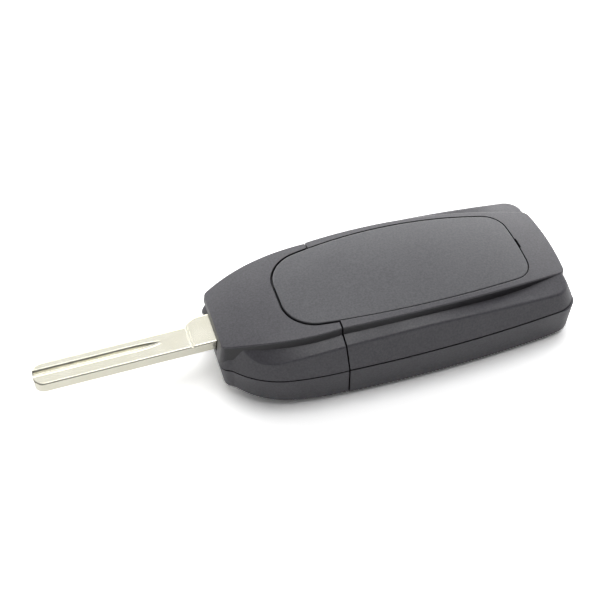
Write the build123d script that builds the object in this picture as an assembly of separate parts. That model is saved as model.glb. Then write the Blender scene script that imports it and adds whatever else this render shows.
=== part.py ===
"""Flip key remote, lying with its buttons down and its battery cover up, the blade swung out.

The fob has a head, which carries the folding blade, and a body, which carries the electronics.
Both are split into an upper and a lower half, and one long battery cover bridges them.
While a piece is modelled, x is 0 at the seam between head and body, y is 0 on the middle line and
z is 0 on the parting plane of the halves. place() moves the finished piece to the part's origin.
"""
import os
from math import asin, degrees, radians, tan

from build123d import *

# Outer form, in millimetres
half_width = 18.55
nose_x = -25.7
rear_x = 53.9
nose_half = 9.2
flare_x, flare_half = -23.5, 10.3
flank_bend = (-18.7, half_width - 4.05)
flank_x, flank_half = -13.0, half_width - 1.75
shoulder_bend = (-6.6, half_width - 0.8)
seam_half = half_width - 0.45
widest_x = 24.0
rear_half = half_width - 1.95
rear_bow = 1.1
head_inset = 0.12

# The raised middle, inside the sloping shoulders
riser_nose_half = 8.5
riser_nose_bend = (-12.0, half_width - 5.6)
riser_seam_half = half_width - 4.7
riser_mid = (22.0, half_width - 4.3)
riser_rear_x, riser_rear_half = 53.25, half_width - 8.2
riser_rear_bow = 0.75
riser_draft, nose_lean = 3.0, 9.0
side_draft = 22.0

crown_x, crown_z = 8.6, 9.17
crown_r_long, crown_r_cross = 225.0, 150.0
nose_roll_x, nose_roll_r = -13.0, 60.0

# Shoulders at places along the fob: how far in they start, how high, and their fall over their reach
shoulder_reach = 4.0
shoulder_stations = (
    (-30.0, 12.0, 5.0, 5.8),
    (-20.0, 8.4, 5.65, 4.0),
    (-13.0, 6.9, 6.1, 2.4),
    (-5.0, 5.9, 6.5, 1.9),
    (9.0, 5.1, 7.0, 2.0),
    (22.0, 5.15, 6.45, 1.1),
    (38.0, 6.5, 4.9, 0.1),
    (58.0, 10.0, 3.2, -0.8),
)
base_height = 8.0

bottom_depth = 9.0
lower_draft = 5.5
nose_rise_r = 150.0
rear_rise_x, rear_rise_r = 44.0, 60.0
bottom_edge_r = 1.8

nose_corner_r = 2.0
lower_nose_corner_r = 2.4
flare_r = 1.5
rear_corner_r = 5.5
lower_rear_corner_r = 4.0
riser_rear_corner_r = 2.0
riser_edge_r = 0.3
shoulder_edge_r = 0.8

# Moulding
wall = 1.8
end_wall = 1.3
seam_gap = 0.3
parting_gap = 0.4
head_parting_drop = 0.17
lap_inset, lap_height, lap_clear = 0.95, 0.6, 0.5
fit_gap = 0.1
tongue_end_gap = 0.3
overlap = 0.3

# Battery cover
cover_front_x, cover_front_half, cover_front_r = -10.1, 9.4, 7.8
cover_rear_x, cover_rear_half, cover_rear_r = 45.2, 9.6, 5.0
cover_rear_bow = 0.5
cover_widest = (17.5, 12.35)
cover_thickness, cover_edge_r = 1.4, 0.25
cover_gap_head, cover_gap_body = 0.5, 0.2
cover_seat_gap = 0.1
tray_thickness = 1.2
prong_points = ((12.0, 9.7), (12.0, -9.7), (35.0, 8.9), (35.0, -8.9))
prong_length, prong_width, prong_depth = 5.0, 1.0, 1.25
prong_gap = 0.15
pry_width, pry_reach, pry_depth = 2.9, 0.3, 1.3

# Blade
pivot = (-12.5, 5.6)
blade_bottom, blade_thickness = 1.15, 2.55
blade_top = blade_bottom + blade_thickness
blade_near, blade_far = -4.35, 1.8
blade_root_far = 4.0
blade_tip_x = -63.7
shoulder_x, shoulder_mid, shoulder_end_x = -30.9, (-29.6, 3.1), -27.6
tang_end_x = -9.5
tang_corner_r = 2.0
tip_corner_r = 2.2
blade_edge = 0.22
groove_y, groove_half_width, groove_floor_half, groove_depth = -0.8, 0.85, 0.35, 0.75
groove_runout_x, groove_wheel_r = -36.4, 22.0
stop_line_x, stop_line_width, stop_line_depth = -30.2, 0.6, 0.15
slot_clearance = 0.3
slot_bottom, slot_top = blade_bottom - slot_clearance, blade_top + slot_clearance
slot_side_gap, slot_step = 0.5, 0.15
slot_front_reach = 3.5
swing_clearance_r = 11.0

# Hub that carries the blade
hub_r = 6.0
hub_bottom, hub_ceiling, hub_top = -5.2, 0.2, 4.7
hub_bore_r = 4.8
journal_r, journal_height = 2.6, 1.3
running_gap, hub_gap = 0.06, 0.2
boss_wall = 1.6
post_r, post_depth = 2.0, 3.4
thrust_gap = 0.15
key_width, key_reach, key_gap = 1.6, 0.4, 0.1
key_height = 3.0
pin_offset = (-0.8, -4.4)
pin_r, pin_bottom = 0.95, 0.45
pin_bore_r, pin_split = 0.52, 0.2

# Release button and its spring
dish_r, dish_z = 5.6, -7.75
land_z = -6.5
release_face_r, release_face_z = 4.0, -7.95
release_gap, release_skirt_gap = 0.15, 0.2
release_skirt_r, release_skirt_bottom, release_skirt_top = 4.6, -6.4, -1.9
release_bore_r, release_bore_bottom = 3.7, -7.2
release_dish_r, release_dish_depth = 14.0, 0.3
release_edge = 0.3
spring_r, spring_wire_r, spring_turns = 2.9, 0.33, 5
spring_end_gap = 0.03

# Slot in the body where the folded blade lies
channel_inner_gap, channel_tip_gap = 0.4, 0.8
channel_root_gap = 0.4
channel_wall, channel_roof = 1.05, 0.9

# Electronics
board_x = (2.0, 43.4)
board_y = (-10.4, 7.3)
board_bottom, board_thickness = 1.6, 1.0
board_top = board_bottom + board_thickness
board_corner_r = 1.5
board_notch = (8.0, 5.1)
board_seat_gap = 0.04
cell_centre = (24.5, -3.0)
cell_r, cell_thickness = 8.0, 3.2
cell_foot_r, cell_foot_height = 7.0, 0.25
cell_bottom = 3.12
cell_edge = 0.3
well_gap, well_wall, well_board_gap = 0.3, 1.0, 0.35
contact_sheet, contact_width = 0.22, 3.0
contact_half_span, contact_rise = 5.0, 0.26
contact_gap, contact_foot, contact_top = 0.06, 2.0, 5.9
contact_room_x, contact_room_y, contact_room_z = 0.8, 0.2, 0.3
switch_size, switch_height = 6.0, 3.5
actuator_r, actuator_height = 1.6, 0.8
chip_blocks = (((10.5, -4.0), (5.0, 5.0, 0.9)), ((38.6, 1.0), (3.4, 5.2, 1.2)), ((10.5, 1.5), (4.0, 3.0, 1.0)))

# Buttons on the underside
button_xs = (12.0, 22.5, 33.0)
button_names = ("lock_button", "unlock_button", "trunk_button")
button_size, button_corner_r = (8.4, 14.6), 3.4
button_recess, button_side_gap = 0.2, 0.15
flange_reach, flange_thickness, flange_lift = 0.6, 0.7, 0.1
button_edge = 0.25
button_hollow_r, button_hollow_depth = 22.0, 0.3
pad_x, pad_half = (6.2, 38.8), 9.1
pad_rim, pad_web, pad_corner_r = 0.7, 0.9, 2.0
pad_gap = 0.05
plunger_r, plunger_gap = 2.0, 0.1

# Screws
head_screw_points = ((-17.6, -7.6), (-4.2, -11.6))
body_screw_points = ((4.2, -8.7), (4.2, 3.1), (41.6, -6.8), (41.6, 5.8))
boss_r = 2.0
screw_shank_r, pilot_gap, pilot_extra, screw_hole_r = 0.8, 0.03, 0.2, 1.0
screw_head_r, screw_head_height, screw_head_gap = 1.55, 1.0, 0.15
screw_recess = 1.6
head_screw_top, body_screw_top = 3.4, 4.5
driver_slot_width, driver_slot_depth = 0.45, 0.5

# Transponder in the head
chip_x, chip_y, chip_z = (-15.1, -7.1), (-10.9, -6.4), (-6.1, -3.5)
chip_gap, chip_rib, chip_rib_height, chip_edge = 0.1, 0.7, 1.4, 0.35

# Lugs that join the head to the body
lug_ys, lug_width = (-4.5, 7.0), 3.0
lug_z, lug_reach, lug_hook = (-5.2, -3.6), 2.9, 0.8

# Keyring bar across a notch at the rear
notch_front_x, notch_half, notch_top = 44.0, 4.4, -1.6
notch_wall, notch_side_wall = 1.4, 2.3
bar_x, bar_z, bar_r = 50.9, -6.3, 1.2
bar_seat, bar_gap, bar_end_gap = 1.7, 0.02, 0.05

far_away = 80.0


def place(shape):
    """Move a finished piece to the part's origin, under the middle of its whole outline."""
    return Pos(-(blade_tip_x + rear_x) / 2, 0, bottom_depth) * shape


def block(x, y, z):
    """A box between two limits on each axis."""
    size = (x[1] - x[0], y[1] - y[0], z[1] - z[0])
    return Pos(x[0], y[0], z[0]) * Box(*size, align=(Align.MIN, Align.MIN, Align.MIN))


def column(point, radius, z):
    """An upright cylinder between two heights."""
    return Pos(point[0], point[1], z[0]) * Cylinder(radius, z[1] - z[0], align=(Align.CENTER, Align.CENTER, Align.MIN))


def outward(edge, where):
    """The outline's outward direction at a place on one of its far-half edges."""
    along = edge.tangent_at(where)
    return Vector(-along.Y, along.X)


def moved_in(edges, inset):
    """Move a chain of edges of the far half inwards, keeping the corners between them closed."""
    joints = [edges[0].position_at(0) - outward(edges[0], 0) * inset]
    for before, after in zip(edges, edges[1:]):
        a, b = outward(before, 1), outward(after, 0)
        joints.append(before.position_at(1) - (a + b) * (inset / (1 + a.dot(b))))
    joints.append(edges[-1].position_at(1) - outward(edges[-1], 1) * inset)
    joints[0], joints[-1] = Vector(joints[0].X, 0), Vector(joints[-1].X, 0)
    moved = []
    for edge, start, end in zip(edges, joints, joints[1:]):
        middle = edge.position_at(0.5) - outward(edge, 0.5) * inset
        straight = edge.geom_type == GeomType.LINE
        moved.append(Line(start, end) if straight else ThreePointArc(start, middle, end))
    return moved, joints


def outline(edges, corner_radii, inset):
    """A face on the plan from the edges of its far half, front to rear, and their mirror image."""
    moved, joints = moved_in(edges, inset)
    face = Face(Wire([e.edge() for e in moved] + [e.edge().mirror(Plane.XZ) for e in moved]))
    for joint, radius in zip(joints[1:-1], corner_radii):
        if radius:
            spots = [Vector(joint.X, joint.Y), Vector(joint.X, -joint.Y)]
            near = [v for v in face.vertices() if min((Vector(*v) - s).length for s in spots) < 0.01]
            face = face.fillet_2d(radius, near)
    return face


def base_outline(inset, nose_r=nose_corner_r, rear_r=rear_corner_r):
    """The fob's outline on the parting plane, drawn smaller all round by the inset."""
    nose = Line((nose_x, 0), (nose_x, nose_half))
    cheek = Line((nose_x, nose_half), (flare_x, flare_half))
    flank = ThreePointArc((flare_x, flare_half), flank_bend, (flank_x, flank_half))
    shoulder = ThreePointArc((flank_x, flank_half), shoulder_bend, (0, seam_half))
    body = ThreePointArc((0, seam_half), (widest_x, half_width), (rear_x - rear_bow, rear_half))
    rear_sag = rear_bow / 4
    rear = ThreePointArc((rear_x - rear_bow, rear_half), (rear_x - rear_sag, rear_half / 2), (rear_x, 0))
    radii = (max(nose_r - inset / 2, 0.3), max(flare_r - inset / 3, 0.2), 0, 0, max(rear_r - inset, 0.5))
    return outline([nose, cheek, flank, shoulder, body, rear], radii, inset)


def riser_outline(inset, nose_back=0.0):
    """The raised middle's outline, drawn smaller all round by the inset and shorter at the nose."""
    front_x, corner_x = nose_x + nose_back, riser_rear_x - riser_rear_bow
    nose = Line((front_x, 0), (front_x, riser_nose_half))
    head = ThreePointArc((front_x, riser_nose_half), riser_nose_bend, (0, riser_seam_half))
    body = ThreePointArc((0, riser_seam_half), riser_mid, (corner_x, riser_rear_half))
    rear_middle = (riser_rear_x - riser_rear_bow / 4, riser_rear_half / 2)
    rear = ThreePointArc((corner_x, riser_rear_half), rear_middle, (riser_rear_x, 0))
    radii = (max(nose_corner_r - inset, 0.3), 0, max(riser_rear_corner_r - inset, 0.3))
    return outline([nose, head, body, rear], radii, inset)


def cover_outline(inset=0.0):
    """The battery cover's outline: bowed sides, a straight front, a bowed rear and round corners."""
    corner_x = cover_rear_x - cover_rear_bow
    front = Line((cover_front_x, 0), (cover_front_x, cover_front_half))
    side = ThreePointArc((cover_front_x, cover_front_half), cover_widest, (corner_x, cover_rear_half))
    rear = ThreePointArc((corner_x, cover_rear_half), (cover_rear_x - cover_rear_bow / 4, cover_rear_half / 2), (cover_rear_x, 0))
    return outline([front, side, rear], (cover_front_r - inset, cover_rear_r - inset), inset)


def drafted(plan, inset, height, draft, direction=1):
    """A block whose plan shrinks with its height, standing on the parting plane or hanging from it."""
    foot = plan(inset)
    head = Pos(0, 0, direction * height) * plan(inset + height * tan(radians(draft)))
    return loft([foot, head], ruled=True)


def raised_middle(inset, height):
    """The raised middle: drafted walls, with a nose that leans back more than they do."""
    nose_back = height * (tan(radians(nose_lean)) - tan(radians(riser_draft)))
    top = riser_outline(inset + height * tan(radians(riser_draft)), nose_back)
    return loft([riser_outline(inset), Pos(0, 0, height) * top], ruled=True)


def crowned(x, z, r_long, ahead, back):
    """A slab under a surface that is crowned across the fob and swept about a cross axis, in degrees."""
    half, depth = 2 * half_width, 3 * bottom_depth
    sag = half ** 2 / (2 * crown_r_cross)
    arc = ThreePointArc((x, -half, z - sag), (x, 0, z), (x, half, z - sag))
    low = Polyline((x, half, z - sag), (x, half, z - depth), (x, -half, z - depth), (x, -half, z - sag))
    section = Face(Wire([arc.edge()] + list(low.edges())))
    axis = Axis((x, 0, z - r_long), (0, 1, 0))
    return revolve(section, axis, revolution_arc=ahead + back).rotate(axis, -ahead)


def under_crown(drop=0.0):
    """Everything below the crowned top, which rolls down more tightly towards the nose."""
    top = crown_z - drop
    roll_start, roll_sweep = degrees(asin((crown_x - nose_roll_x) / crown_r_long)), 30.0
    rear_sweep = degrees(asin((rear_x + wall - crown_x) / crown_r_long)) + 1
    main = crowned(crown_x, top, crown_r_long, roll_start, rear_sweep)
    roll = crowned(crown_x, top, nose_roll_r, roll_sweep, 0.0)
    return main + roll.rotate(Axis((crown_x, 0, top - crown_r_long), (0, 1, 0)), -roll_start)


def under_shoulders(drop=0.0):
    """Everything below the shoulders, which slope steeply at the nose and gently at the rear."""
    sections = []
    for x, start_in, height, fall in shoulder_stations:
        inner = half_width - start_in
        outer = inner + 3 * shoulder_reach
        high, low = height - drop, height - drop - 3 * fall
        foot = -2 * bottom_depth
        points = [(x, -outer, low), (x, -inner, high), (x, inner, high), (x, outer, low), (x, outer, foot), (x, -outer, foot)]
        sections.append(Face(Wire(Polyline(*points, close=True).edges())))
    return loft(sections)


def crown_height(x, y):
    """Height of the crowned top over a point of the plan, behind the roll of the nose."""
    return crown_z - (x - crown_x) ** 2 / (2 * crown_r_long) - y ** 2 / (2 * crown_r_cross)


def floor_height(x):
    """Height of the underside at a place along the fob."""
    if x < 0:
        return -bottom_depth + x ** 2 / (2 * nose_rise_r)
    return -bottom_depth + max(0.0, x - rear_rise_x) ** 2 / (2 * rear_rise_r)


def across_middle(edge):
    """True of an edge between two parts of one surface, which runs across the fob away from its ends."""
    inside = nose_x + 6 < edge.center().X < rear_x - 6
    return inside and abs(edge.center().Y) < 1.0


def rim_edges(solid, lean):
    """Level edges along the top of those walls whose lean from upright lies between two angles."""
    low, high = (Vector(0, 0, 1).rotate(Axis.Y, 90 - angle).Z for angle in lean)
    walls = solid.faces().filter_by(lambda face: low < face.normal_at().Z < high)
    edges = [e for side in walls for e in side.edges() if e.center().Z > 1]
    return [e for e in edges if abs(e.tangent_at(0.5).Z) < 0.6 and not across_middle(e)]


def upper_form(inset=0.0, rounded=False):
    """The upper half: a drafted base up to the shoulders, and the raised middle up to the crown."""
    crown = under_crown(inset)
    raised = raised_middle(inset, crown_z + 1) & crown
    base = drafted(base_outline, inset, base_height, side_draft) & under_shoulders(inset) & crown
    if rounded:
        raised = fillet(rim_edges(raised, (riser_draft - 2, nose_lean + 2)), riser_edge_r)
        shoulder_rim = rim_edges(base, (side_draft - 2, side_draft + 2))
        base = fillet([e for e in shoulder_rim if abs(e.center().Y) > riser_nose_bend[1] - 0.5], shoulder_edge_r)
    return raised + base


def bottom_profile(raise_by=0.0):
    """Side view of the underside: flat in the middle, rising gently to the nose and the rear."""
    flat_z = -bottom_depth + raise_by
    nose_end = nose_x - 5
    rear_end = rear_x + 5
    nose_arc = ThreePointArc((nose_end, floor_height(nose_end) + raise_by), (nose_end / 2, floor_height(nose_end / 2) + raise_by), (0, flat_z))
    flat = Line((0, flat_z), (rear_rise_x, flat_z))
    half_way = (rear_rise_x + rear_end) / 2
    rear_arc = ThreePointArc((rear_rise_x, flat_z), (half_way, floor_height(half_way) + raise_by), (rear_end, floor_height(rear_end) + raise_by))
    top = Polyline((rear_end, floor_height(rear_end) + raise_by), (rear_end, 1), (nose_end, 1), (nose_end, floor_height(nose_end) + raise_by))
    face = Face(Wire([nose_arc.edge(), flat.edge(), rear_arc.edge()] + list(top.edges())))
    side_view = Plane.XZ * face
    return extrude(side_view, amount=30, both=True)


def lower_form(inset=0.0, rounded=False):
    """The lower half: walls drafted inwards and a nearly flat underside with a round edge."""
    plan = lambda i: base_outline(i, lower_nose_corner_r, lower_rear_corner_r)
    walls = drafted(plan, inset, bottom_depth + 1, lower_draft, -1)
    form = walls & bottom_profile(inset)
    if rounded:
        low_edges = [e for e in form.edges() if e.center().Z < -4 and abs(e.center().Y) + abs(e.center().X) > 1]
        low_edges = [e for e in low_edges if abs(e.tangent_at(0.5).Z) < 0.6 and not across_middle(e)]
        form = fillet(low_edges, bottom_edge_r)
    return form


def slab(plan, z):
    """A plan face made solid between two heights."""
    return extrude(Pos(0, 0, z[0]) * plan, amount=z[1] - z[0], dir=(0, 0, 1))


def above(z):
    return block((-far_away, far_away), (-far_away, far_away), (z, far_away))


def below(z):
    return block((-far_away, far_away), (-far_away, far_away), (-far_away, z))


def ahead_of(x):
    return block((-far_away, x), (-far_away, far_away), (-far_away, far_away))


def behind(x):
    return block((x, far_away), (-far_away, far_away), (-far_away, far_away))


def band(outer, inner, z):
    """A ring that follows the fob's outline between two insets."""
    outside = slab(base_outline(outer), z)
    inside = slab(base_outline(inner), (z[0] - 1, z[1] + 1))
    return outside - inside


def recess(gap):
    """The room for the battery cover, with a gap round it and under it."""
    return slab(cover_outline(-gap), (0, far_away)) - under_crown(cover_thickness + cover_seat_gap)


def tray(gap):
    """Where the walls and floor that hold the battery cover stand, and everything above them."""
    drop = cover_thickness + cover_seat_gap + tray_thickness
    return slab(cover_outline(-gap - tray_thickness), (0, far_away)) - under_crown(drop)


def union(shapes):
    """Several overlapping or separate solids as one shape."""
    result = shapes[0]
    for shape in shapes[1:]:
        result = result + shape
    return result


seam_head, seam_body = -seam_gap / 2, seam_gap / 2
head_parting = -head_parting_drop
stowed_inner_y = 2 * pivot[1] - blade_far
stowed_root_y = 2 * pivot[1] - blade_root_far
stowed_tip_x = 2 * pivot[0] - blade_tip_x
stowed_root_x = 2 * pivot[0] - shoulder_x
channel_y = stowed_inner_y - channel_inner_gap
channel_root_y = stowed_root_y - channel_root_gap
channel_root_x = stowed_root_x + channel_root_gap
channel_end_x = stowed_tip_x + channel_tip_gap
slot_near_y = blade_near - slot_side_gap
boss_foot = -bottom_depth + wall / 2

inner_form = upper_form(wall) + lower_form(wall)
head_form = (upper_form(head_inset, True) + lower_form(head_inset, True)) & ahead_of(seam_head)
body_form = (upper_form(0.0, True) + lower_form(0.0, True)) & behind(seam_body)
head_cavity = (inner_form - tray(cover_gap_head)) & ahead_of(seam_head - end_wall)
body_cavity = (inner_form - tray(cover_gap_body)) & behind(seam_body + end_wall)


def swing_slot(near_gap):
    """The part of the head that the blade sweeps through on its way round the far side."""
    heights = (head_parting - parting_gap - tongue_end_gap - 1, slot_top)
    front_end = pivot[0] - slot_front_reach
    front = block((-far_away, front_end), (slot_near_y + near_gap, far_away), heights)
    side = block((front_end - overlap, far_away), (channel_root_y, far_away), heights)
    return front + side


def screw_recess_top(point):
    return floor_height(point[0]) + screw_recess + screw_head_height


def make_head_top_shell():
    shell = (head_form & above(head_parting + parting_gap / 2)) - head_cavity - recess(cover_gap_head)
    journal_boss = column(pivot, journal_r + boss_wall, (hub_top + thrust_gap, crown_z)) & head_form
    bosses = [column(p, boss_r, (head_parting + fit_gap, crown_z)) & inner_form for p in head_screw_points]
    shell = shell + journal_boss + union(bosses) - recess(cover_gap_head)
    shell = shell - band(lap_inset - fit_gap, wall + lap_clear, (-1, lap_height + fit_gap))
    shell = shell - swing_slot(0.0)
    shell = shell - column(pivot, swing_clearance_r, (slot_bottom, slot_top))
    shell = shell - column(pivot, hub_r + hub_gap, (-1, hub_top + thrust_gap))
    shell = shell - column(pivot, journal_r + running_gap, (0, hub_top + journal_height + thrust_gap))
    for point in head_screw_points:
        shell = shell - column(point, screw_shank_r + pilot_gap, (-1, head_screw_top + pilot_extra))
    return shell


def make_head_bottom_shell():
    parting = head_parting - parting_gap / 2
    shell = (head_form & below(parting)) - head_cavity
    upstand = ((head_form & above(parting) & below(slot_bottom)) - head_cavity) & swing_slot(slot_step)
    tongue = band(lap_inset, wall, (parting - 1, lap_height)) & ahead_of(seam_head - tongue_end_gap) - swing_slot(-slot_step)
    ring = column(pivot, hub_r + hub_gap, (boss_foot, hub_bottom - thrust_gap)) & head_form
    shell = shell + upstand + tongue + ring
    bosses = [column(p, boss_r, (boss_foot, parting)) & head_form for p in head_screw_points]
    seat = block((chip_x[0] - chip_gap - chip_rib, chip_x[1] + chip_gap + chip_rib),
                 (chip_y[0] - chip_gap - chip_rib, chip_y[1] + chip_gap + chip_rib),
                 (boss_foot, chip_z[0] + chip_rib_height)) & head_form
    shell = shell + union(bosses) + seat
    shell = shell - block((chip_x[0] - chip_gap, chip_x[1] + chip_gap),
                          (chip_y[0] - chip_gap, chip_y[1] + chip_gap), (chip_z[0], 0))
    for y in lug_ys:
        arm = block((seam_head - end_wall, seam_head + lug_reach), (y, y + lug_width), lug_z)
        hook = block((seam_body + end_wall + fit_gap, seam_head + lug_reach), (y, y + lug_width),
                     (lug_z[0] - lug_hook, lug_z[1]))
        shell = shell + arm + hook
    shell = shell - column(pivot, release_skirt_r + release_skirt_gap, (land_z, 0))
    shell = shell - column(pivot, release_face_r + release_gap, (-far_away, 0))
    shell = shell - column(pivot, dish_r, (-far_away, dish_z))
    for point in head_screw_points:
        shell = shell - column(point, screw_hole_r, (-far_away, 1))
        shell = shell - column(point, screw_head_r + screw_head_gap, (-far_away, screw_recess_top(point)))
    return shell


def make_body_top_shell():
    shell = (body_form & above(parting_gap / 2)) - body_cavity - recess(cover_gap_body)
    fill_top = slot_top + channel_roof
    long_fill = block((seam_body, channel_end_x + channel_wall), (channel_y - channel_wall, far_away),
                      (parting_gap / 2, fill_top))
    root_fill = block((seam_body, channel_root_x + channel_wall), (channel_root_y - channel_wall, far_away),
                      (parting_gap / 2, fill_top))
    lap_cut = band(lap_inset - fit_gap, wall + lap_clear, (-1, lap_height + fit_gap)) - long_fill - root_fill
    well_outer = cell_r + well_gap + well_wall
    ring = column(cell_centre, well_outer, (board_top + well_board_gap, crown_z))
    bosses = [column(p, boss_r, (board_top + board_seat_gap, crown_z)) for p in body_screw_points]
    added = union([long_fill, root_fill, ring] + bosses) & body_form
    shell = shell - lap_cut + added - recess(cover_gap_body)
    long_slot = block((-1, channel_end_x), (channel_y, far_away), (slot_bottom, slot_top))
    root_slot = block((-1, channel_root_x), (channel_root_y, far_away), (slot_bottom, slot_top))
    shell = shell - long_slot - root_slot
    shell = shell - column(cell_centre, cell_r + well_gap, (0, far_away))
    contact_x = cell_centre[0] + cell_r
    contact_half = contact_width / 2 + contact_room_y
    shell = shell - block((contact_x - overlap, contact_x + contact_room_x),
                          (cell_centre[1] - contact_half, cell_centre[1] + contact_half), (0, contact_top + contact_room_z))
    for x, y in prong_points:
        half_length, half_slot = prong_length / 2 + prong_gap, prong_width / 2 + prong_gap
        slot_floor = crown_height(x, y) - cover_thickness - prong_depth - prong_gap
        shell = shell - block((x - half_length, x + half_length), (y - half_slot, y + half_slot), (slot_floor, far_away))
    for point in body_screw_points:
        shell = shell - column(point, screw_shank_r + pilot_gap, (0, body_screw_top + pilot_extra))
    pry = block((cover_rear_x - pry_reach, cover_rear_x + cover_gap_body + pry_reach), (-pry_width / 2, pry_width / 2),
                (crown_height(cover_rear_x, 0) - pry_depth, far_away))
    return shell - pry


def cap_outline(grow):
    width, length = button_size
    return RectangleRounded(width + 2 * grow, length + 2 * grow, button_corner_r + grow)


def make_body_bottom_shell():
    shell = (body_form & below(-parting_gap / 2)) - body_cavity
    tongue = band(lap_inset, wall, (-1, lap_height)) & behind(seam_body + tongue_end_gap)
    tongue = tongue - block((0, channel_end_x + channel_wall + fit_gap), (0, far_away), (-parting_gap / 2, far_away))
    shell = shell + tongue
    notch_fill = block((notch_front_x - notch_wall, far_away),
                       (-notch_half - notch_side_wall, notch_half + notch_side_wall), (-far_away, notch_top + notch_wall))
    shell = shell + (notch_fill & body_form)
    shell = shell - block((notch_front_x, far_away), (-notch_half, notch_half), (-far_away, notch_top))
    bar_hole = Cylinder(bar_r + bar_gap, 2 * (notch_half + bar_seat + bar_end_gap), rotation=(90, 0, 0))
    shell = shell - Pos(bar_x, 0, bar_z) * bar_hole
    bosses = [column(p, boss_r, (boss_foot, board_bottom - board_seat_gap)) for p in body_screw_points]
    shell = shell + union(bosses)
    for point in body_screw_points:
        shell = shell - column(point, screw_hole_r, (-far_away, far_away))
        shell = shell - column(point, screw_head_r + screw_head_gap, (-far_away, screw_recess_top(point)))
    for x in button_xs:
        shell = shell - Pos(x, 0, 0) * slab(cap_outline(button_side_gap), (-far_away, -bottom_depth + wall + overlap))
    for y in lug_ys:
        room = block((0, seam_head + lug_reach + fit_gap), (y - fit_gap, y + lug_width + fit_gap),
                     (lug_z[0] - lug_hook - fit_gap, lug_z[1] + fit_gap))
        shell = shell - room
    return shell


def make_battery_cover():
    cover = slab(cover_outline(), (0, far_away)) & under_crown()
    top_rim = cover.faces().sort_by(Axis.Z)[-1].edges()
    cover = fillet(top_rim, cover_edge_r) - under_crown(cover_thickness)
    for x, y in prong_points:
        root = crown_height(x, y) - cover_thickness
        cover = cover + block((x - prong_length / 2, x + prong_length / 2), (y - prong_width / 2, y + prong_width / 2),
                              (root - prong_depth, root + overlap))
    return cover


def make_blade():
    far_side = Polyline((tang_end_x, blade_root_far), (shoulder_end_x, blade_root_far))
    shoulder = ThreePointArc((shoulder_end_x, blade_root_far), shoulder_mid, (shoulder_x, blade_far))
    rest = Polyline((shoulder_x, blade_far), (blade_tip_x, blade_far), (blade_tip_x, blade_near),
                    (tang_end_x, blade_near), (tang_end_x, blade_root_far))
    plan = Face(Wire(list(far_side.edges()) + [shoulder.edge()] + list(rest.edges())))
    plan = plan.fillet_2d(tip_corner_r, [v for v in plan.vertices() if v.X < blade_tip_x + 0.1])
    plan = plan.fillet_2d(tang_corner_r, [v for v in plan.vertices() if v.X > tang_end_x - 0.1])
    blade = slab(plan, (blade_bottom, blade_top))
    long_edges = blade.edges().filter_by(lambda e: abs(e.tangent_at(0.5).Z) < 0.1)
    blade = chamfer(long_edges, blade_edge)
    lift, run_out_sweep = 0.5, 25
    slope = (groove_half_width - groove_floor_half) / groove_depth
    wide = groove_half_width + lift * slope
    top, floor = blade_top + lift, blade_top - groove_depth
    section = Polyline((groove_y - wide, top), (groove_y - groove_floor_half, floor), (groove_y + groove_floor_half, floor),
                       (groove_y + wide, top), close=True)
    cut_face = Plane.YZ * make_face(section.edges())
    wheel_centre_x = groove_runout_x - (2 * groove_wheel_r * groove_depth - groove_depth ** 2) ** 0.5
    straight = extrude(Pos(blade_tip_x - 1, 0, 0) * cut_face, amount=wheel_centre_x - blade_tip_x + 1)
    axis = Axis((wheel_centre_x, 0, floor + groove_wheel_r), (0, 1, 0))
    run_out = revolve(Pos(wheel_centre_x, 0, 0) * cut_face, axis, revolution_arc=-run_out_sweep)
    blade = blade - straight - run_out
    blade = blade - block((stop_line_x - stop_line_width / 2, stop_line_x + stop_line_width / 2),
                          (-far_away, far_away), (blade_top - stop_line_depth, far_away))
    pin_point = (pivot[0] + pin_offset[0], pivot[1] + pin_offset[1])
    return blade - column(pin_point, pin_r + bar_gap, (0, far_away))


def make_blade_hub():
    hub = column(pivot, hub_r, (hub_bottom, hub_top))
    hub = hub + column(pivot, journal_r, (hub_top - overlap, hub_top + journal_height))
    hub = hub - column(pivot, hub_bore_r, (-far_away, hub_ceiling))
    hub = hub + column(pivot, post_r, (hub_ceiling - post_depth, hub_ceiling + overlap))
    reach = release_skirt_r + key_reach + key_gap
    half_key = key_width / 2 + key_gap
    hub = hub - block((pivot[0] - reach, pivot[0] + reach), (pivot[1] - half_key, pivot[1] + half_key),
                      (-far_away, hub_ceiling - post_depth - running_gap))
    for side in (-1, 1):
        near, far = sorted((pivot[0] + side * (hub_bore_r - 1), pivot[0] + side * reach))
        hub = hub - block((near, far), (pivot[1] - half_key, pivot[1] + half_key), (-far_away, hub_ceiling))
    tang = block((-far_away, tang_end_x + fit_gap), (-far_away, blade_root_far + fit_gap / 2),
                 (blade_bottom - fit_gap / 2, blade_top + fit_gap / 2))
    hub = hub - tang
    pin_point = (pivot[0] + pin_offset[0], pivot[1] + pin_offset[1])
    return hub - column(pin_point, pin_r + bar_gap, (pin_bottom, far_away))


def make_blade_roll_pin():
    pin_point = (pivot[0] + pin_offset[0], pivot[1] + pin_offset[1])
    pin = column(pin_point, pin_r, (pin_bottom, hub_top - fit_gap))
    bore = column(pin_point, pin_bore_r, (-far_away, far_away))
    split = block((pin_point[0] - pin_split / 2, pin_point[0] + pin_split / 2), (pin_point[1], pin_point[1] + 2 * pin_r),
                  (-far_away, far_away))
    return pin - bore - split


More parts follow.
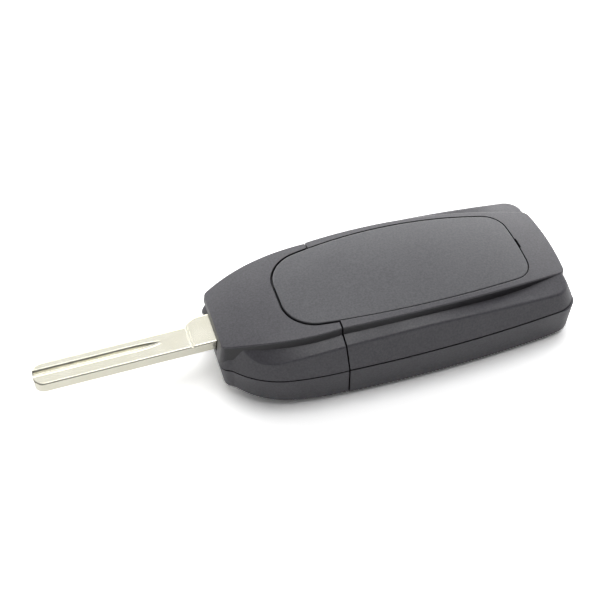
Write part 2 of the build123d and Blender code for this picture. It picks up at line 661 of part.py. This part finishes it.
def make_release_button():
    button = column(pivot, release_face_r, (release_face_z, release_skirt_bottom + overlap))
    button = chamfer(button.faces().sort_by(Axis.Z)[0].edges(), release_edge)
    button = button + column(pivot, release_skirt_r, (release_skirt_bottom, release_skirt_top))
    half_key = key_width / 2
    reach = release_skirt_r + key_reach
    key = block((pivot[0] - reach, pivot[0] + reach), (pivot[1] - half_key, pivot[1] + half_key),
                (release_skirt_top - key_height, release_skirt_top))
    button = button + key - column(pivot, release_bore_r, (release_bore_bottom, far_away))
    ball = Sphere(release_dish_r)
    return button - Pos(pivot[0], pivot[1], release_face_z + release_dish_depth - release_dish_r) * ball


def make_flip_spring():
    low = release_bore_bottom + spring_wire_r + spring_end_gap
    high = hub_ceiling - spring_wire_r - spring_end_gap
    path = Helix(pitch=(high - low) / spring_turns, height=high - low, radius=spring_r)
    start = Plane(origin=path @ 0, z_dir=path % 0)
    wire_section = start * Circle(spring_wire_r)
    return Pos(pivot[0], pivot[1], low) * sweep(wire_section, path=path)


def make_screws(points, top):
    screws = []
    for point in points:
        base = floor_height(point[0]) + screw_recess
        head = column(point, screw_head_r, (base, base + screw_head_height))
        for width, length in ((driver_slot_width, 3 * screw_head_r), (3 * screw_head_r, driver_slot_width)):
            cross = block((point[0] - width / 2, point[0] + width / 2), (point[1] - length / 2, point[1] + length / 2),
                          (base - 1, base + driver_slot_depth))
            head = head - cross
        screws.append(head + column(point, screw_shank_r, (base + screw_head_height - overlap, top)))
    return union(screws)


def make_circuit_board():
    centre = ((board_x[0] + board_x[1]) / 2, (board_y[0] + board_y[1]) / 2)
    plan = Pos(*centre) * RectangleRounded(board_x[1] - board_x[0], board_y[1] - board_y[0], board_corner_r)
    board = slab(plan, (board_bottom, board_top))
    board = board - block((0, board_notch[0]), (board_notch[1], far_away), (-far_away, far_away))
    for point in body_screw_points:
        board = board - column(point, screw_hole_r + fit_gap, (-far_away, far_away))
    return board


def make_board_chips():
    chips = []
    for (x, y), (length, width, height) in chip_blocks:
        chips.append(block((x - length / 2, x + length / 2), (y - width / 2, y + width / 2), (board_top, board_top + height)))
    return union(chips)


def make_tact_switches():
    half = switch_size / 2
    switches = []
    for x in button_xs:
        case = block((x - half, x + half), (-half, half), (board_bottom - switch_height, board_bottom))
        stem_bottom = board_bottom - switch_height - actuator_height
        switches.append(case + column((x, 0), actuator_r, (stem_bottom, board_bottom - switch_height + overlap)))
    return union(switches)


def make_coin_cell():
    can = column(cell_centre, cell_r, (cell_bottom + cell_foot_height, cell_bottom + cell_thickness))
    can = fillet(can.edges().filter_by(GeomType.CIRCLE), cell_edge)
    return can + column(cell_centre, cell_foot_r, (cell_bottom, cell_bottom + cell_foot_height + overlap))


def make_contact_negative():
    half, low = contact_half_span, board_top
    arch = ThreePointArc((-half, low + contact_sheet), (0, low + contact_sheet + contact_rise), (half, low + contact_sheet))
    under_arch = ThreePointArc((half, low), (0, low + contact_rise), (-half, low))
    ends = [Line((half, low + contact_sheet), (half, low)), Line((-half, low), (-half, low + contact_sheet))]
    section = Face(Wire([arch.edge(), ends[0].edge(), under_arch.edge(), ends[1].edge()]))
    strip = extrude(Plane.XZ * section, amount=contact_width / 2, both=True)
    return Pos(cell_centre[0], cell_centre[1], 0) * strip


def make_contact_positive():
    x = cell_centre[0] + cell_r + contact_gap
    y = (cell_centre[1] - contact_width / 2, cell_centre[1] + contact_width / 2)
    upright = block((x, x + contact_sheet), y, (board_top, contact_top))
    foot = block((x, x + contact_foot), y, (board_top, board_top + contact_sheet))
    return upright + foot


def make_button_pad():
    flange_top = -bottom_depth + wall + flange_lift + flange_thickness
    web_low = flange_top + pad_gap
    rim_low = -bottom_depth + wall
    centre_x = (pad_x[0] + pad_x[1]) / 2
    length = pad_x[1] - pad_x[0]
    outer = Pos(centre_x, 0) * RectangleRounded(length, 2 * pad_half, pad_corner_r)
    inner = Pos(centre_x, 0) * RectangleRounded(length - 2 * pad_rim, 2 * (pad_half - pad_rim), pad_corner_r - pad_rim)
    pad = slab(outer, (rim_low, web_low + pad_web)) - slab(inner, (rim_low - 1, web_low))
    stem_bottom = board_bottom - switch_height - actuator_height
    for x in button_xs:
        pad = pad + column((x, 0), plunger_r, (web_low + pad_web - overlap, stem_bottom - plunger_gap))
    return pad


def make_cap(x):
    face_z = -bottom_depth + button_recess
    flange_low = -bottom_depth + wall + flange_lift
    cap = slab(cap_outline(0.0), (face_z, flange_low + overlap))
    cap = chamfer(cap.faces().sort_by(Axis.Z)[0].edges(), button_edge)
    cap = cap + slab(cap_outline(flange_reach), (flange_low, flange_low + flange_thickness))
    roll_z = face_z + button_hollow_depth - button_hollow_r
    roll = Pos(0, 0, roll_z) * Cylinder(button_hollow_r, 3 * button_size[1], rotation=(90, 0, 0))
    return Pos(x, 0, 0) * (cap - roll)


def make_transponder():
    chip = block(chip_x, chip_y, chip_z)
    return fillet(chip.edges(), chip_edge)


def make_keyring_bar():
    return Pos(bar_x, 0, bar_z) * Cylinder(bar_r, 2 * (notch_half + bar_seat), rotation=(90, 0, 0))


pieces = {
    "head_top_shell": make_head_top_shell,
    "head_bottom_shell": make_head_bottom_shell,
    "body_top_shell": make_body_top_shell,
    "body_bottom_shell": make_body_bottom_shell,
    "battery_cover": make_battery_cover,
    "blade": make_blade,
    "blade_hub": make_blade_hub,
    "blade_roll_pin": make_blade_roll_pin,
    "release_button": make_release_button,
    "flip_spring": make_flip_spring,
    "head_screws": lambda: make_screws(head_screw_points, head_screw_top),
    "body_screws": lambda: make_screws(body_screw_points, body_screw_top),
    "transponder": make_transponder,
    "circuit_board": make_circuit_board,
    "board_chips": make_board_chips,
    "tact_switches": make_tact_switches,
    "coin_cell": make_coin_cell,
    "contact_negative": make_contact_negative,
    "contact_positive": make_contact_positive,
    "button_pad": make_button_pad,
    "keyring_bar": make_keyring_bar,
}

os.makedirs("parts", exist_ok=True)
for name, make in pieces.items():
    export_step(place(make()), f"parts/{name}.step")
for name, x in zip(button_names, button_xs):
    export_step(place(make_cap(x)), f"parts/{name}.step")
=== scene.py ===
"""Flip key remote in a plain white studio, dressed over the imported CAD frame.

Lengths are in metres, apart from those whose name ends in mm.
"""

import math

import bpy
from mathutils import Matrix, Vector


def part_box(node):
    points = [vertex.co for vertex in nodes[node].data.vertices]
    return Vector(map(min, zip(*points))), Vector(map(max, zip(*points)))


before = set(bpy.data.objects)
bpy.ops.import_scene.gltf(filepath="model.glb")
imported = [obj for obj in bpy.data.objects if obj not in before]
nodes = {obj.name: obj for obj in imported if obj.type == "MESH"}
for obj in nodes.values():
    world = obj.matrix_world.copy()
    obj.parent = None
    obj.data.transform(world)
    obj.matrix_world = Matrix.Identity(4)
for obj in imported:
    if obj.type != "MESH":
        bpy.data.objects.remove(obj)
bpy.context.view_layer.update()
mm = 0.001

# The middle of the seam between head and body, at the height where the halves part
head_front, head_rear = (corner[0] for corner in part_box("head_top_shell"))
body_front, _, upper_half_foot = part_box("body_top_shell")[0]
parting_gap = 0.4 * mm
seam_point = Vector(((head_rear + body_front) / 2, 0.0, upper_half_foot - parting_gap / 2))

# Camera, from the perspective of the photograph: its lens, how far it is turned from +Y towards +X, dipped
# below level and rolled, and the pixel and the distance at which it shows the seam point
image_px = 600
sensor_mm = 36.0
focal_px = 1165.1
view_turn, view_dip, view_roll = (math.radians(degrees) for degrees in (15.07, 47.0, -2.77))
seam_px = (323.64, 310.29)
seam_distance = 255.65 * mm
clip_near, clip_far = 0.005, 500.0

# Moulded plastic: how far its specks stray from its colour, their size as a share of the grain's, and the
# stretch of the noise over which they turn from dark to pale, then its grain, sheen, paler edges (rubbed wear
# and painted highlight) and the painted shade in its crevices
speckle_spread = 0.16
speckle_to_grain = 1.3
speckle_steps = (0.36, 0.64)
plastic_grain_mm = 0.32
plastic_grain_depth_mm = 0.02
plastic_grain_rough = 0.6
plastic_sheen_mm = 4.0
plastic_edge_mm = 0.12
rubbed_and_highlight_tone = 1.22
crevice_shade_tone = 0.25
crevice_shade_reach_mm = 1.2

# Metal: the size of the patches in which its colour and its sheen vary, then its grain and edges
metal_patch_mm = 6.0
metal_patch_tone = 0.97
metal_sheen_mm = 3.0
metal_grain_mm = 0.3
metal_grain_depth_mm = 0.0006
metal_edge_mm = 0.15

# The rays sent out to feel for edges and gaps, then what counts as an edge, as open and as an upright side
# wall, which place the paler edges, the painted shade in gaps and the painted shade on upright walls. A
# wall's
# direction has little of Z and much of Y: each pair runs from no wall to full wall, and so do the two places
# along
# X, round the nose's front.
probe_samples = 8
edge_turn = 0.06
open_share = 0.8
wall_z, wall_y = (0.30, 0.14), (0.5, 0.8)
wall_x = (head_front - 1.8 * mm, head_front + 1.7 * mm)

# A colour mix node's sockets
mix_share, mix_first, mix_second, mix_result = 0, 6, 7, 2

# Studio floor: its half width, its rim's half width and rise, and the hair's breadth it lies below the part
floor_half, rim_half, rim_rise = 2.5, 3.2, 0.5
floor_drop = 0.02 * mm

# How white the floor's paper is to bounced light, and to the rays that look at it. Away from the part
# those rays see a plain white backdrop too, which fades in between two distances.
bounce_white = 0.90
seen_whites = (("Is Glossy Ray", 1.0), ("Is Transmission Ray", 1.0), ("Is Camera Ray", 1.65))
backdrop_from, backdrop_full = 0.22, 0.60
world_light = 0.13


def srgb(red, green, blue):
    """A colour written as it looks on screen, 0 to 255, as the linear colour that Blender wants."""
    linear = []
    for value in (red, green, blue):
        share = value / 255
        linear.append(share / 12.92 if share <= 0.04045 else ((share + 0.055) / 1.055) ** 2.4)
    return (*linear, 1.0)


def grey(value):
    """A grey, or a plain number for a socket that takes one, where 1 is white."""
    return (value, value, value, 1.0)


def toned(colour, tone):
    """The colour made darker, by a tone under 1, or paler."""
    return (*(channel * tone for channel in colour[:3]), 1.0)


def make_camera():
    """Looks down on the part from its near side, turned and rolled a little, as the photograph does."""
    ahead = Vector((
        math.sin(view_turn) * math.cos(view_dip),
        math.cos(view_turn) * math.cos(view_dip),
        -math.sin(view_dip),
    ))
    level = Vector((math.cos(view_turn), -math.sin(view_turn), 0.0))
    upward = level.cross(ahead)
    right = math.cos(view_roll) * level + math.sin(view_roll) * upward
    up = -math.sin(view_roll) * level + math.cos(view_roll) * upward
    aside = (seam_px[0] - image_px / 2) / focal_px * seam_distance
    below = (seam_px[1] - image_px / 2) / focal_px * seam_distance
    place = seam_point - aside * right + below * up - seam_distance * ahead
    data = bpy.data.cameras.new("photo_camera")
    data.sensor_width = sensor_mm
    data.lens = focal_px * sensor_mm / image_px
    data.clip_start = clip_near
    data.clip_end = clip_far
    camera = bpy.data.objects.new("photo_camera", data)
    turned = Matrix((right, up, -ahead)).transposed().to_4x4()
    camera.matrix_world = Matrix.Translation(place) @ turned
    bpy.context.scene.collection.objects.link(camera)
    bpy.context.scene.camera = camera


class Shader:
    """A material's node tree, with short calls to add nodes and join them."""

    def __init__(self, name):
        self.material = bpy.data.materials.new(name)
        self.material.use_nodes = True
        self.tree = self.material.node_tree
        self.tree.nodes.clear()
        self.output = self.add("ShaderNodeOutputMaterial")

    def add(self, kind, **settings):
        node = self.tree.nodes.new(kind)
        for key, value in settings.items():
            setattr(node, key, value)
        return node

    def join(self, source, target):
        """Feeds one node's output into another's input."""
        self.tree.links.new(source, target)

    def noise(self, scale_mm, detail=2.0, rough=0.5):
        """Noise whose blobs are about scale_mm across."""
        place = self.add("ShaderNodeTexCoord")
        node = self.add("ShaderNodeTexNoise")
        node.inputs["Scale"].default_value = 1.0 / (scale_mm * mm)
        node.inputs["Detail"].default_value = detail
        node.inputs["Roughness"].default_value = rough
        self.join(place.outputs["Object"], node.inputs["Vector"])
        return node.outputs["Fac"]

    def ramp(self, source, low, high, start=0.35, end=0.65):
        """A colour, or a grey for a number, from low to high as the source goes from start to end."""
        node = self.add("ShaderNodeValToRGB")
        node.color_ramp.elements[0].position = start
        node.color_ramp.elements[1].position = end
        node.color_ramp.elements[0].color = low
        node.color_ramp.elements[1].color = high
        self.join(source, node.inputs["Fac"])
        return node.outputs["Color"]

    def rise(self, source, none, full):
        """0 where the source is at none or beyond it, rising to 1 where it is at full."""
        node = self.add("ShaderNodeMapRange")
        node.inputs["From Min"].default_value = none
        node.inputs["From Max"].default_value = full
        self.join(source, node.inputs["Value"])
        return node.outputs["Result"]

    def product(self, first, second):
        node = self.add("ShaderNodeMath", operation="MULTIPLY")
        self.join(first, node.inputs[0])
        self.join(second, node.inputs[1])
        return node.outputs[0]

    def along(self, vector, axis):
        """How far a place or direction goes along an axis."""
        node = self.add("ShaderNodeSeparateXYZ")
        self.join(vector, node.inputs[0])
        return node.outputs[axis]

    def blend(self, share, first, second):
        """A colour that turns from first to second as share goes from 0 to 1.

        Each of the two is a colour or another node's output.
        """
        node = self.add("ShaderNodeMix", data_type="RGBA")
        self.join(share, node.inputs[mix_share])
        for choice, socket in ((first, node.inputs[mix_first]), (second, node.inputs[mix_second])):
            if isinstance(choice, tuple):
                socket.default_value = choice
            else:
                self.join(choice, socket)
        return node.outputs[mix_result]

    def bump(self, height, depth_mm, under):
        """The direction under, roughened by a height that goes up to depth_mm."""
        node = self.add("ShaderNodeBump")
        node.inputs["Distance"].default_value = depth_mm * mm
        self.join(height, node.inputs["Height"])
        self.join(under, node.inputs["Normal"])
        return node.outputs["Normal"]

    def rounded(self, radius_mm):
        """The surface's direction with its edges softened over radius_mm."""
        node = self.add("ShaderNodeBevel", samples=probe_samples)
        node.inputs["Radius"].default_value = radius_mm * mm
        return node.outputs["Normal"]

    def edges(self, softened):
        """0 on a flat face, rising to 1 where the softened direction turns away from the face's own."""
        place = self.add("ShaderNodeNewGeometry")
        agree = self.add("ShaderNodeVectorMath", operation="DOT_PRODUCT")
        self.join(softened, agree.inputs[0])
        self.join(place.outputs["Normal"], agree.inputs[1])
        return self.rise(agree.outputs["Value"], 1.0, 1.0 - edge_turn)

    def crevices(self, reach_mm):
        """Mask for painted shade: 1 on open surfaces, falling towards 0 deep in a gap or at the foot of a
        step.
        """
        node = self.add("ShaderNodeAmbientOcclusion", samples=probe_samples)
        node.inputs["Distance"].default_value = reach_mm * mm
        return self.rise(node.outputs["AO"], 0.0, open_share)

    def shaded_upright_sides(self):
        """Mask for painted shade: 1 on side walls that stand nearly upright, fading out towards the nose's
        front, and 0 elsewhere.
        """
        place = self.add("ShaderNodeTexCoord")
        total = self.rise(self.along(place.outputs["Object"], "X"), *wall_x)
        for axis, steps in (("Z", wall_z), ("Y", wall_y)):
            size = self.add("ShaderNodeMath", operation="ABSOLUTE")
            self.join(self.along(place.outputs["Normal"], axis), size.inputs[0])
            total = self.product(total, self.rise(size.outputs[0], *steps))
        return total

    def paper(self, white):
        """Matt paper of this whiteness."""
        node = self.add("ShaderNodeBsdfDiffuse")
        node.inputs["Color"].default_value = grey(white)
        return node.outputs[0]


def plastic(name, colour, grain_mm=plastic_grain_mm, roughness=(0.33, 0.40), specular=0.5, wall_shade_tone=None):
    """Moulded plastic with a fine spark-eroded grain, paler on its edges as rubbed wear and painted
    highlight, and with painted shade in its gaps and at the foot of steps.

    Steep side walls get painted shade, which stands in for the shade the lamps leave on them; the wall tone
    is how much darker they are painted.
    """
    s = Shader(name)
    body = s.add("ShaderNodeBsdfPrincipled")
    softened = s.rounded(plastic_edge_mm)
    speckle = s.noise(grain_mm * speckle_to_grain, detail=3.0, rough=plastic_grain_rough)
    dark, pale = toned(colour, 1 - speckle_spread), toned(colour, 1 + speckle_spread)
    shade = s.ramp(speckle, dark, pale, *speckle_steps)
    # Painted shade: steep side walls come out darker than the rest
    if wall_shade_tone is not None:
        shade = s.blend(s.shaded_upright_sides(), shade, toned(colour, wall_shade_tone))
    # Edges paler, partly rubbed wear and partly painted highlight
    shade = s.blend(s.edges(softened), shade, toned(colour, rubbed_and_highlight_tone))
    # Painted shade: darker in gaps and at the foot of steps
    shade = s.blend(s.crevices(crevice_shade_reach_mm), toned(colour, crevice_shade_tone), shade)
    s.join(shade, body.inputs["Base Color"])
    sheen = s.ramp(s.noise(plastic_sheen_mm), grey(roughness[0]), grey(roughness[1]))
    s.join(sheen, body.inputs["Roughness"])
    body.inputs["Specular IOR Level"].default_value = specular
    grain = s.noise(grain_mm, rough=plastic_grain_rough)
    s.join(s.bump(grain, plastic_grain_depth_mm, softened), body.inputs["Normal"])
    s.join(body.outputs["BSDF"], s.output.inputs["Surface"])
    return s.material


def metal(name, colour, roughness=(0.2, 0.26), tint=None, edge_mm=metal_edge_mm):
    """Plated or bare metal with a slightly uneven colour and sheen and softly polished edges.

    tint is the colour of its other patches, or a slightly darker one if there is none.
    """
    s = Shader(name)
    body = s.add("ShaderNodeBsdfPrincipled")
    body.inputs["Metallic"].default_value = 1.0
    other = tint or toned(colour, metal_patch_tone)
    s.join(s.ramp(s.noise(metal_patch_mm), other, colour), body.inputs["Base Color"])
    sheen = s.ramp(s.noise(metal_sheen_mm, detail=3.0), grey(roughness[0]), grey(roughness[1]))
    s.join(sheen, body.inputs["Roughness"])
    grain = s.noise(metal_grain_mm, detail=3.0)
    s.join(s.bump(grain, metal_grain_depth_mm, s.rounded(edge_mm)), body.inputs["Normal"])
    s.join(body.outputs["BSDF"], s.output.inputs["Surface"])
    return s.material


def dress(names, material):
    """Gives the nodes a material, in place of the one they come with."""
    for name in names:
        mesh = nodes[name].data
        mesh.materials.clear()
        mesh.materials.append(material)


def make_plastics():
    charcoal = srgb(77, 76, 81)
    dress(("head_bottom_shell", "body_bottom_shell"), plastic("housing_plastic", charcoal))
    # Its steep side walls carry painted shade
    upper_housing = plastic("upper_housing_plastic", charcoal, wall_shade_tone=0.35)
    dress(("head_top_shell", "body_top_shell"), upper_housing)
    dress(("battery_cover",), plastic("cover_plastic", srgb(84, 84, 88)))
    dress(("lock_button", "unlock_button", "trunk_button"), plastic("button_plastic", srgb(52, 52, 55)))
    dress(("button_pad",), plastic("pad_silicone", srgb(48, 48, 50), roughness=(0.7, 0.8), specular=0.3))
    laminate = plastic("board_laminate", srgb(28, 92, 52), grain_mm=0.8, roughness=(0.25, 0.35))
    dress(("circuit_board",), laminate)
    dress(("board_chips", "tact_switches"), plastic("chip_plastic", srgb(38, 38, 40)))
    dress(("transponder",), plastic("transponder_block", srgb(40, 40, 42), roughness=(0.5, 0.6)))


def make_metals():
    nickel = metal("blade_nickel", srgb(233, 230, 215), tint=srgb(230, 227, 210), edge_mm=0.4)
    dress(("blade",), nickel)
    dress(("blade_hub",), metal("hub_zinc", srgb(176, 176, 178), roughness=(0.4, 0.55)))
    dress(("flip_spring", "blade_roll_pin"), metal("spring_steel", srgb(190, 190, 194)))
    dress(("release_button",), metal("release_plating", srgb(214, 214, 218), roughness=(0.14, 0.22)))
    zinc = metal("screw_zinc", srgb(168, 170, 174), roughness=(0.3, 0.42))
    dress(("head_screws", "body_screws", "keyring_bar"), zinc)
    dress(("coin_cell",), metal("cell_steel", srgb(205, 205, 208)))
    dress(("contact_negative", "contact_positive"), metal("contact_brass", srgb(214, 186, 120)))


def studio_white():
    """White paper, which shows the part's shadow, with a plain white backdrop further off."""
    s = Shader("studio_white")
    path = s.add("ShaderNodeLightPath")
    place = s.add("ShaderNodeTexCoord")
    away = s.add("ShaderNodeVectorMath", operation="LENGTH")
    s.join(place.outputs["Object"], away.inputs[0])
    fade = s.rise(away.outputs["Value"], backdrop_from, backdrop_full)
    surface = s.paper(bounce_white)
    for ray, white in seen_whites:
        backdrop = s.add("ShaderNodeEmission")
        s.join(fade, backdrop.inputs["Strength"])
        both = s.add("ShaderNodeAddShader")
        s.join(s.paper(white), both.inputs[0])
        s.join(backdrop.outputs[0], both.inputs[1])
        mix = s.add("ShaderNodeMixShader")
        s.join(path.outputs[ray], mix.inputs["Fac"])
        s.join(surface, mix.inputs[1])
        s.join(both.outputs[0], mix.inputs[2])
        surface = mix.outputs[0]
    s.join(surface, s.output.inputs["Surface"])
    return s.material


def make_floor():
    """A white sweep. Its far rim rises a few degrees above the horizon, so that low views end in white."""
    corners = []
    for half, height in ((floor_half, 0.0), (rim_half, rim_rise)):
        for x, y in ((-half, -half), (half, -half), (half, half), (-half, half)):
            corners.append((x, y, height))
    inner = (0, 1, 2, 3)
    rim = [(side, (side + 1) % 4, 4 + (side + 1) % 4, 4 + side) for side in range(4)]
    mesh = bpy.data.meshes.new("studio_floor")
    mesh.from_pydata(corners, [], [inner] + rim)
    mesh.materials.append(studio_white())
    floor = bpy.data.objects.new("studio_floor", mesh)
    floor.location.z = -floor_drop
    bpy.context.scene.collection.objects.link(floor)


def make_world():
    """Faint even light from all round."""
    world = bpy.data.worlds.new("studio")
    world.use_nodes = True
    tree = world.node_tree
    tree.nodes.clear()
    output = tree.nodes.new("ShaderNodeOutputWorld")
    light = tree.nodes.new("ShaderNodeBackground")
    light.inputs["Color"].default_value = grey(1.0)
    light.inputs["Strength"].default_value = world_light
    tree.links.new(light.outputs[0], output.inputs["Surface"])
    bpy.context.scene.world = world


def area_light(name, at, aim, size, watts):
    """A rectangular lamp of a width and height, which stands at one point and faces another."""
    data = bpy.data.lights.new(name, "AREA")
    data.shape = "RECTANGLE"
    data.size, data.size_y = size
    data.energy = watts
    lamp = bpy.data.objects.new(name, data)
    lamp.location = at
    lamp.rotation_euler = (Vector(aim) - Vector(at)).to_track_quat("-Z", "Y").to_euler()
    bpy.context.scene.collection.objects.link(lamp)


def make_lights():
    """A softbox overhead, two wide panels behind that light the sloping faces, and a fill on each side."""
    area_light("overhead_softbox", at=(0.06, 0.03, 0.62), aim=(0.01, 0.0, 0.01), size=(0.5, 0.42), watts=2.05)
    area_light("back_panel", at=(0.12, 0.95, 0.95), aim=(0.05, 0.0, 0.3), size=(2.2, 0.7), watts=4.1)
    area_light("back_strip", at=(0.14, 0.95, 0.31), aim=(0.14, 0.0, 0.31), size=(2.2, 0.56), watts=15.0)
    area_light("right_panel", at=(0.9, 0.3, 0.45), aim=(0.0, 0.0, 0.2), size=(0.9, 0.7), watts=3.0)
    area_light("left_card", at=(-0.75, -0.30, 0.22), aim=(0.0, 0.0, 0.02), size=(0.5, 0.4), watts=0.5)


make_camera()
make_world()
make_floor()
make_lights()
make_plastics()
make_metals()

bpy.context.scene.view_settings.view_transform = "Standard"
